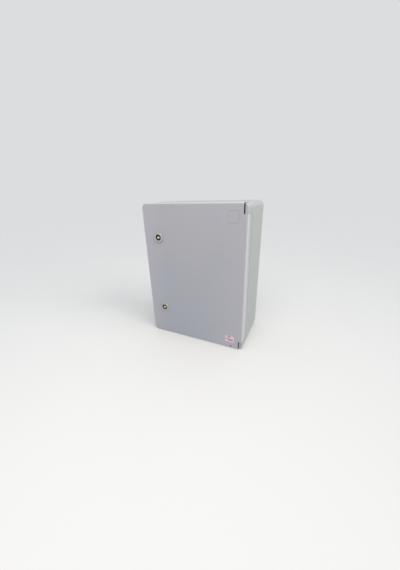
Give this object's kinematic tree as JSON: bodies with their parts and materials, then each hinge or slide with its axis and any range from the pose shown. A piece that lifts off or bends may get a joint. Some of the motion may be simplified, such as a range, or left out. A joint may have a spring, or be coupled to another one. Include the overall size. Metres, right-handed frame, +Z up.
{
  "type": "plastic electrical enclosure",
  "caption": "Wall-mounting grey plastic electrical enclosure: rectangular box with a right-hinged, gasketed door, quarter-turn key locks and an inner mounting plate.",
  "frame": {"origin": "bottom centre of the bounding box, on the surface that the enclosure stands on", "axes": "+X right facing the door, +Y from the door to the back, +Z up"},
  "size_m": [0.3, 0.1732, 0.4],
  "materials": {
    "case_plastic": "fine moulded grain",
    "door_plastic": "fine moulded grain",
    "gasket_foam": "closed-cell foam",
    "pin_steel": "ground",
    "galvanised_sheet": "galvanised",
    "zinc_plated_steel": "zinc plated",
    "insert_brass": "machined",
    "nickel": "satin nickel plate",
    "black_plastic": "satin",
    "black_rubber": "matt",
    "label_film": "printed film"
  },
  "bodies": {
    "case": {"case_body": "case_plastic", "upper_hinge_pin": "pin_steel", "lower_hinge_pin": "pin_steel", "mounting_plate": "galvanised_sheet", "plate_screws": "zinc_plated_steel", "plate_washers": "zinc_plated_steel", "threaded_inserts": "insert_brass"},
    "door": {"door_panel": "door_plastic", "door_gasket": "gasket_foam", "label": "label_film", "upper_lock_housing": "nickel", "upper_lock_seal": "black_rubber", "upper_lock_nut": "zinc_plated_steel", "lower_lock_housing": "nickel", "lower_lock_seal": "black_rubber", "lower_lock_nut": "zinc_plated_steel"},
    "upper_lock": {"upper_lock_rotor": "black_plastic", "upper_lock_o_ring": "black_rubber", "upper_lock_key_pin": "nickel", "upper_lock_cam": "zinc_plated_steel", "upper_lock_cam_washer": "zinc_plated_steel", "upper_lock_cam_screw": "zinc_plated_steel"},
    "lower_lock": {"lower_lock_rotor": "black_plastic", "lower_lock_o_ring": "black_rubber", "lower_lock_key_pin": "nickel", "lower_lock_cam": "zinc_plated_steel", "lower_lock_cam_washer": "zinc_plated_steel", "lower_lock_cam_screw": "zinc_plated_steel"}
  },
  "joints": [
    {"name": "door_hinge", "type": "hinge", "parent": "case", "child": "door", "pos_m": [0.1459, -0.0779, 0.2], "axis": [0, 0, 1], "range_deg": [0, 180]},
    {"name": "upper_lock_turn", "type": "hinge", "parent": "door", "child": "upper_lock", "pos_m": [-0.102, -0.0834, 0.309], "axis": [0, 1, 0], "range_deg": [0, 90]},
    {"name": "lower_lock_turn", "type": "hinge", "parent": "door", "child": "lower_lock", "pos_m": [-0.102, -0.0834, 0.091], "axis": [0, 1, 0], "range_deg": [0, 90]}
  ]
}
